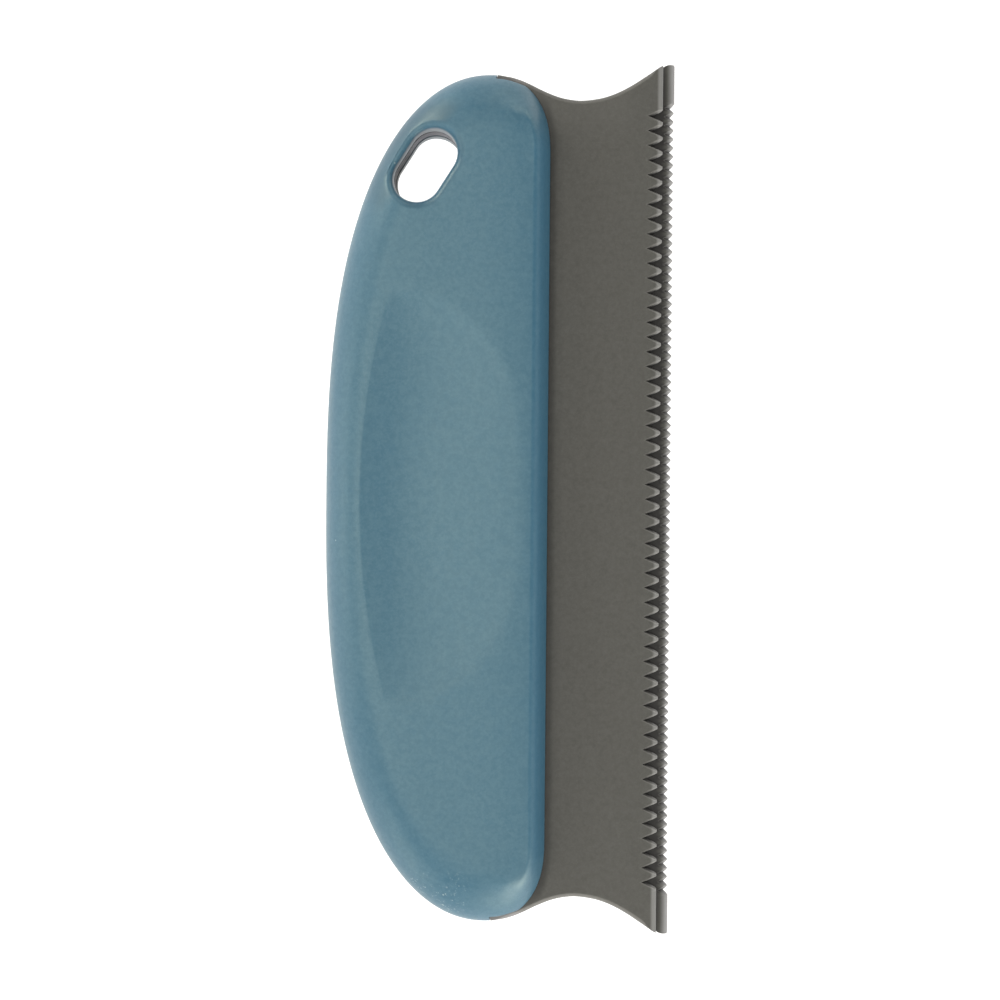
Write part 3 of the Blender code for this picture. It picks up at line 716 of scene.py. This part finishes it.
# ---- materials ----
class Nodes:
    """Small helper to write node trees."""

    def __init__(self, name):
        self.mat = bpy.data.materials.new(name)
        self.mat.use_nodes = True
        self.tree = self.mat.node_tree
        self.bsdf = self.tree.nodes["Principled BSDF"]
        coord = self.tree.nodes.new("ShaderNodeTexCoord")
        scale = self.tree.nodes.new("ShaderNodeVectorMath")
        scale.operation = 'SCALE'
        self.tree.links.new(coord.outputs["Object"], scale.inputs[0])
        scale.inputs["Scale"].default_value = 1000.0
        self.mm = scale.outputs[0]
        sep = self.tree.nodes.new("ShaderNodeSeparateXYZ")
        self.tree.links.new(self.mm, sep.inputs[0])
        self.x, self.y, self.z = sep.outputs
        turned = self.tree.nodes.new("ShaderNodeSeparateXYZ")
        self.tree.links.new(coord.outputs["Normal"], turned.inputs[0])
        self.nz = self.math('ABSOLUTE', turned.outputs[2])

    def put(self, socket, value):
        if isinstance(value, (int, float)):
            socket.default_value = value
        elif isinstance(value, tuple):
            socket.default_value = (*value, 1.0) if len(socket.default_value) == 4 and len(value) == 3 else value
        else:
            self.tree.links.new(value, socket)

    def math(self, op, a, b=0.0, c=0.0, clamp=False):
        n = self.tree.nodes.new("ShaderNodeMath")
        n.operation = op
        n.use_clamp = clamp
        for s, v in zip(n.inputs, (a, b, c)):
            self.put(s, v)
        return n.outputs[0]

    def ramp(self, value, lo, hi, out_lo=0.0, out_hi=1.0):
        """Smooth step of a value from lo to hi."""
        n = self.tree.nodes.new("ShaderNodeMapRange")
        n.interpolation_type = 'SMOOTHSTEP'
        for s, v in zip(n.inputs[:5], (value, lo, hi, out_lo, out_hi)):
            self.put(s, v)
        return n.outputs[0]

    def noise(self, scale, detail=2.0, rough=0.5, stretch=None, shift=0.0):
        vec = self.mm
        if stretch or shift:
            m = self.tree.nodes.new("ShaderNodeMapping")
            self.tree.links.new(vec, m.inputs["Vector"])
            m.inputs["Scale"].default_value = stretch or (1.0, 1.0, 1.0)
            m.inputs["Location"].default_value = (shift, shift, shift)
            vec = m.outputs[0]
        n = self.tree.nodes.new("ShaderNodeTexNoise")
        self.tree.links.new(vec, n.inputs["Vector"])
        n.inputs["Scale"].default_value = scale
        n.inputs["Detail"].default_value = detail
        n.inputs["Roughness"].default_value = rough
        return n.outputs["Fac"]

    def specks(self, scale, radius, share, shift=0.0):
        """Sparse round specks: one in a share of the cells of a cell pattern."""
        m = self.tree.nodes.new("ShaderNodeMapping")
        self.tree.links.new(self.mm, m.inputs["Vector"])
        m.inputs["Location"].default_value = (shift, shift * 0.7, shift * 0.4)
        v = self.tree.nodes.new("ShaderNodeTexVoronoi")
        self.tree.links.new(m.outputs[0], v.inputs["Vector"])
        v.inputs["Scale"].default_value = scale
        near = self.ramp(v.outputs["Distance"], radius * scale, 0.35 * radius * scale)
        pick = self.tree.nodes.new("ShaderNodeSeparateColor")
        self.tree.links.new(v.outputs["Color"], pick.inputs[0])
        chosen = self.math('LESS_THAN', pick.outputs[0], share)
        return self.math('MULTIPLY', near, chosen)

    def mix(self, fac, a, b):
        n = self.tree.nodes.new("ShaderNodeMix")
        n.data_type = 'RGBA'
        self.put(n.inputs[0], fac)
        self.put(n.inputs[6], a)
        self.put(n.inputs[7], b)
        return n.outputs[2]

    def bump(self, height, distance, strength=1.0):
        n = self.tree.nodes.new("ShaderNodeBump")
        n.inputs["Strength"].default_value = strength
        n.inputs["Distance"].default_value = distance
        self.put(n.inputs["Height"], height)
        self.tree.links.new(n.outputs[0], self.bsdf.inputs["Normal"])

    def finish(self, colour, roughness):
        self.put(self.bsdf.inputs["Base Color"], colour)
        self.put(self.bsdf.inputs["Roughness"], roughness)
        return self.mat


def cover_material():
    n = Nodes("cover_blue")
    base = n.mix(n.noise(0.05, 3.0, 0.55), (0.0305, 0.1, 0.17), (0.038, 0.106, 0.167))
    base = n.mix(n.ramp(n.noise(0.55, 4.0, 0.6, shift=31.0), 0.3, 0.7, 0.0, 0.8), base, (0.046, 0.116, 0.1785))
    # moulded grain, fine and coarser
    fine = n.noise(2.6, 3.0, 0.65)
    coarse = n.noise(1.15, 2.0, 0.6, shift=71.0)
    base = n.mix(n.ramp(fine, 0.4, 0.68, 0.0, 0.52), base, (0.059, 0.134, 0.196))
    base = n.mix(n.ramp(coarse, 0.60, 0.34, 0.0, 0.42), base, (0.021, 0.084, 0.144))
    # painted highlight, paler where the rounding turns down to the parting line on the palm side
    rim_highlight = n.math('MULTIPLY', n.math('MAXIMUM', n.ramp(n.nz, 0.62, 0.1), n.ramp(n.z, MID + 2.5, MID + 0.2)), n.ramp(n.x, 2.0, -10.0))
    base = n.mix(n.math('MULTIPLY', rim_highlight, 0.5), base, (0.145, 0.20, 0.228))
    # painted shade: a deeper blue on the shaded rounding beside the blade
    base = n.mix(n.math('MULTIPLY', n.math('MULTIPLY', n.ramp(n.x, 5.2, 7.4), n.ramp(n.math('ABSOLUTE', n.y), 68.0, 60.0)), 0.4), base, (0.031, 0.114, 0.198))
    # painted shade, darker round the palm side of the slot
    gap = slot_gap(n)
    side = n.math('ADD', n.math('MULTIPLY', n.math('SUBTRACT', n.x, SLOT_X), -0.8),
                  n.math('MULTIPLY', n.math('SUBTRACT', n.y, SLOT_Y), 0.6))
    slot_shade = n.math('MULTIPLY', n.math('MULTIPLY', n.ramp(gap, 0.5, 1.8), n.ramp(gap, 6.8, 2.8)), n.ramp(side, 0.4, 2.8))
    base = n.mix(n.math('MULTIPLY', slot_shade, n.ramp(n.y, 58.0, 66.0, 0.42, 0.58)), base, (0.011, 0.047, 0.088))
    # painted shade on the rounded rim along the slot's other side
    ring = n.math('MULTIPLY', n.math('MULTIPLY', n.ramp(gap, 0.1, 0.45), n.ramp(gap, 1.6, 0.9)), n.ramp(side, 0.0, -2.5))
    base = n.mix(n.math('MULTIPLY', ring, 0.36), base, (0.011, 0.047, 0.088))
    # painted highlight, a paler patch on the lower corner
    c, s = math.cos(math.radians(48.0)), math.sin(math.radians(48.0))
    dx, dy = n.math('ADD', n.x, -3.9), n.math('ADD', n.y, 68.3)
    along = n.math('ABSOLUTE', n.math('ADD', n.math('MULTIPLY', dx, c), n.math('MULTIPLY', dy, s)))
    across = n.math('ABSOLUTE', n.math('SUBTRACT', n.math('MULTIPLY', dy, c), n.math('MULTIPLY', dx, s)))
    patch = n.math('MULTIPLY', n.ramp(along, 4.6, 1.2), n.ramp(across, 1.9, 0.1))
    base = n.mix(n.math('MULTIPLY', patch, 0.2), base, (0.20, 0.28, 0.32))
    # dust, light and dark
    base = n.mix(n.math('MULTIPLY', n.specks(0.21, 0.19, 0.10), 0.6), base, (0.34, 0.42, 0.44))
    base = n.mix(n.math('MULTIPLY', n.specks(0.15, 0.24, 0.24, 57.0), 0.8), base, (0.010, 0.030, 0.045))
    # small light scuffs on the rounding of the lower end
    scuff = n.ramp(n.noise(1.5, 4.0, 0.7, shift=12.0), 0.58, 0.66)
    patch = n.ramp(n.noise(0.22, 2.0, 0.5, shift=44.0), 0.42, 0.6)
    where = n.math('MULTIPLY', n.math('MULTIPLY', n.ramp(n.y, -64.5, -69.0), n.ramp(n.x, -3.0, -9.0)), patch)
    base = n.mix(n.math('MULTIPLY', n.math('MULTIPLY', scuff, where), 0.75), base, (0.36, 0.43, 0.45))
    base = n.mix(n.math('MULTIPLY', n.math('MULTIPLY', n.specks(1.1, 0.2, 0.3, 9.0), where), 0.7), base, (0.36, 0.43, 0.45))
    # painted light: the slot's wall paler, most of all on its side towards the middle of the rake
    wall = n.math('MULTIPLY', slot_mask(n, 0.25, 0.05), n.ramp(n.z, MID + 6.6, MID + 5.6))
    base = n.mix(n.math('MULTIPLY', wall, n.ramp(n.y, 60.0, 54.5, 0.62, 0.88)), base, (0.27, 0.285, 0.345))
    # painted shade low in the slot, below the mid plane, on its side towards the middle
    low = n.math('MULTIPLY', n.math('MULTIPLY', slot_mask(n, 1.6, 1.2), n.ramp(n.z, MID, MID - 1.0)), n.ramp(n.y, 64.0, 57.5))
    base = n.mix(n.math('MULTIPLY', low, 0.95), base, (0.006, 0.008, 0.012))
    rough = n.ramp(n.noise(0.8, 4.0, 0.6, shift=5.0), 0.25, 0.75, 0.38, 0.46)
    worn = n.math('MULTIPLY', n.ramp(n.y, -60.0, -66.0), n.ramp(n.x, -4.0, 2.0))
    rough = n.math('ADD', rough, n.math('MULTIPLY', worn, 0.06))
    n.bump(n.math('ADD', n.math('ADD', n.math('MULTIPLY', n.noise(5.5, 2.0, 0.6), 0.35), n.math('MULTIPLY', fine, 0.4)),
                  n.math('MULTIPLY', coarse, 0.55)), 0.000017)
    n.bsdf.inputs["Specular IOR Level"].default_value = 0.6
    n.bsdf.inputs["Specular Tint"].default_value = (0.88, 1.0, 0.86, 1.0)
    return n.finish(base, rough)


def slot_gap(n):
    """Distance of a point in plan from the slot's edge, in millimetres, below 0 inside the slot."""
    c, s = math.cos(SLOT_ANGLE), math.sin(SLOT_ANGLE)
    dx, dy = n.math('SUBTRACT', n.x, SLOT_X), n.math('SUBTRACT', n.y, SLOT_Y)
    along = n.math('ABSOLUTE', n.math('ADD', n.math('MULTIPLY', dx, c), n.math('MULTIPLY', dy, s)))
    along = n.math('MAXIMUM', n.math('SUBTRACT', along, 0.5 * (SLOT_LENGTH - SLOT_WIDTH)), 0.0)
    across = n.math('SUBTRACT', n.math('MULTIPLY', dy, c), n.math('MULTIPLY', dx, s))
    d = n.math('SQRT', n.math('ADD', n.math('MULTIPLY', along, along), n.math('MULTIPLY', across, across)))
    return n.math('SUBTRACT', d, 0.5 * SLOT_WIDTH)


def slot_mask(n, far, near):
    """1 on the slot's wall, fading out over a distance from it."""
    return n.ramp(n.math('ABSOLUTE', slot_gap(n)), far, near)


def crevice_distance(n):
    """Distance of the blade's face from the handle's edge, in millimetres."""
    u = n.math('DIVIDE', n.math('SUBTRACT', n.x, X_CROWN), X_FRONT - X_CROWN, clamp=True)
    far = n.math('MAXIMUM', n.math('SUBTRACT', n.x, X_FRONT), 0.0)
    v = n.math('DIVIDE', n.math('SUBTRACT', n.math('ABSOLUTE', n.y), Y_CORNER), Y_CROWN - Y_CORNER, clamp=True)
    r = n.math('POWER', n.math('ADD', n.math('POWER', u, 2.5), n.math('POWER', v, 2.5)), 0.4)
    return n.math('ADD', n.math('MULTIPLY', n.math('SUBTRACT', r, 1.0), 12.0), far)


def lip_mask(n, row, z_lo, z_hi, width):
    """1 on the rim of a row's notches, fading out over a width, on its lip."""
    count, pitch, root_x, depth, slant, face_z, _ = row
    # distance in plan from the nearest notch's middle line, and from its flank at this height
    y = n.math('PINGPONG', n.math('ADD', n.y, 0.5 * pitch * count - 0.5 * pitch + 40.0 * pitch), 0.5 * pitch)
    lean = n.math('MULTIPLY', n.math('SUBTRACT', n.z, MID + face_z), slant)
    x = n.math('ADD', n.math('SUBTRACT', n.x, root_x), lean)
    k = depth / (0.5 * pitch)
    into = n.math('SUBTRACT', n.math('MULTIPLY', y, k), x)            # positive inside the tooth
    across = n.math('MULTIPLY', into, math.sin(math.atan(1.0 / k)))
    rim = n.ramp(n.math('ABSOLUTE', across), width, 0.0)
    inside = n.math('MULTIPLY', n.math('GREATER_THAN', n.z, MID + z_lo), n.math('LESS_THAN', n.z, MID + z_hi))
    ends = n.math('LESS_THAN', n.math('ABSOLUTE', n.y), 0.5 * pitch * count + width)
    return n.math('MULTIPLY', n.math('MULTIPLY', rim, inside), ends)


def blade_material():
    n = Nodes("blade_grey")
    base = n.mix(n.noise(0.045, 3.0, 0.5), (0.0535, 0.0510, 0.0470), (0.0555, 0.0550, 0.0525))
    grain = n.noise(3.2, 3.0, 0.65)
    base = n.mix(n.ramp(grain, 0.38, 0.7, 0.0, 0.36), base, (0.074, 0.074, 0.072))
    base = n.mix(n.ramp(n.noise(1.3, 3.0, 0.6, shift=47.0), 0.58, 0.36, 0.0, 0.34), base, (0.040, 0.039, 0.0365))
    base = n.mix(n.math('MULTIPLY', n.specks(0.20, 0.13, 0.14, 20.0), 0.5), base, (0.16, 0.155, 0.145))
    base = n.mix(n.math('MULTIPLY', n.specks(0.24, 0.13, 0.10, 83.0), 0.5), base, (0.02, 0.02, 0.018))
    # painted shade inside the groove and the notches
    low = n.ramp(n.z, MID + 1.7, MID + 0.9)
    groove_shade = n.math('MULTIPLY', n.ramp(n.x, 25.0, 26.0), n.ramp(n.x, 29.6, 28.3))
    base = n.mix(n.math('MULTIPLY', n.math('MULTIPLY', low, groove_shade), 0.9), base, (0.0095, 0.0085, 0.010))
    count, pitch = FINE[:2]
    y = n.math('PINGPONG', n.math('ADD', n.y, 0.5 * pitch * count - 0.5 * pitch + 40.0 * pitch), 0.5 * pitch)
    notch_shade = n.math('MULTIPLY', n.ramp(y, 0.62, 0.25), n.math('MULTIPLY', n.ramp(n.x, 28.2, 28.7), n.ramp(n.x, 30.3, 29.6)))
    notch_shade = n.math('MULTIPLY', notch_shade, n.math('LESS_THAN', n.math('ABSOLUTE', n.y), 0.5 * pitch * count))
    base = n.mix(n.math('MULTIPLY', n.math('MULTIPLY', notch_shade, n.math('LESS_THAN', n.z, MID)), 0.85), base, (0.009, 0.008, 0.0095))
    # painted highlight on the rounded border, and on the lips' rounded edges
    border = n.math('MULTIPLY', n.ramp(n.z, MID + 1.795, MID + 1.70), n.ramp(n.math('ABSOLUTE', n.y), 69.2, 69.5))
    border = n.math('MULTIPLY', border, n.math('MULTIPLY', n.ramp(n.x, 27.4, 26.4), n.ramp(n.y, 10.0, -10.0, 0.26, 0.42)))
    base = n.mix(border, base, (0.21, 0.205, 0.20))
    # painted highlight on the sliver of border that shows beside the step
    sliver_highlight = n.math('MULTIPLY', n.ramp(n.math('ABSOLUTE', n.y), 72.6, 73.9), n.ramp(n.x, 6.5, 3.0))
    base = n.mix(n.math('MULTIPLY', sliver_highlight, n.ramp(n.y, 10.0, -10.0, 0.45, 0.85)), base, (0.20, 0.195, 0.205))
    front = n.math('MULTIPLY', n.ramp(n.x, FRONT_LIP_X - 1.15, FRONT_LIP_X - 0.55), n.math('GREATER_THAN', n.z, MID + 0.6))
    rear = n.math('MULTIPLY', n.ramp(n.x, BLADE_X - 1.5, BLADE_X - 0.1), n.math('LESS_THAN', n.z, MID))
    base = n.mix(n.math('MULTIPLY', front, 0.7), base, (0.215, 0.215, 0.222))
    base = n.mix(n.math('MULTIPLY', rear, 0.8), base, (0.31, 0.31, 0.33))
    # painted highlight along the thin rims of the teeth, most of all at their tips
    tip_highlight = n.ramp(n.x, 26.0, 28.2, 0.12, 0.5)
    base = n.mix(n.math('MULTIPLY', lip_mask(n, COARSE, 0.9, 2.0, 0.26), tip_highlight), base, (0.24, 0.235, 0.235))
    tip_highlight = n.ramp(n.x, 29.6, 30.6, 0.15, 0.45)
    base = n.mix(n.math('MULTIPLY', lip_mask(n, FINE, -1.9, -0.6, 0.22), tip_highlight), base, (0.26, 0.255, 0.255))
    # painted shade in the joint with the cover, and on the face beside it
    joint_shade = n.math('MULTIPLY', n.ramp(crevice_distance(n), 1.3, 0.1), n.math('GREATER_THAN', n.z, MID + 1.6))
    joint_shade = n.math('MULTIPLY', joint_shade, n.ramp(n.math('ABSOLUTE', n.y), 73.5, 69.0))
    base = n.mix(n.math('MULTIPLY', joint_shade, 0.7), base, (0.012, 0.0115, 0.011))
    shade = n.math('MULTIPLY', n.ramp(crevice_distance(n), 2.9, 0.9), n.math('GREATER_THAN', n.z, MID + 1.6))
    shade = n.math('MULTIPLY', shade, n.ramp(n.math('ABSOLUTE', n.y), 69.0, 62.0))
    base = n.mix(n.math('MULTIPLY', shade, 0.15), base, (0.012, 0.0115, 0.011))
    # painted light: the face paler towards the upper end
    end_light = n.ramp(n.y, 62.0, 70.0)
    base = n.mix(n.math('MULTIPLY', n.math('MULTIPLY', end_light, n.ramp(n.x, 26.0, 20.0)), 0.16), base, (0.11, 0.108, 0.104))
    # painted light: the slot's wall paler, most of all on its side towards the end
    pale = n.math('MULTIPLY', slot_mask(n, 0.12, 0.04), n.ramp(n.y, 54.0, 62.5, 0.3, 0.95))
    base = n.mix(pale, base, (0.33, 0.32, 0.37))
    # painted shade on the lower half of the slot's wall, on its side towards the middle
    slot_wall_shade = n.math('MULTIPLY', n.math('MULTIPLY', slot_mask(n, 0.14, 0.06), n.ramp(n.z, MID + 1.4, MID + 0.6)), n.ramp(n.y, 63.5, 60.0))
    base = n.mix(n.math('MULTIPLY', slot_wall_shade, 0.9), base, (0.009, 0.009, 0.012))
    rough = n.ramp(n.noise(0.7, 3.0, 0.6, shift=9.0), 0.25, 0.75, 0.55, 0.68)
    n.bump(n.math('ADD', n.math('MULTIPLY', n.noise(6.5, 2.0, 0.6), 0.6), n.math('MULTIPLY', grain, 0.4)), 0.000014)
    return n.finish(base, rough)


blue = cover_material()
grey = blade_material()
make_cover("cover_front", "front_cover", False, blue)
make_cover("cover_rear", "rear_cover", True, blue)
make_blade(grey)
bpy.data.collections.remove(SCRATCH)
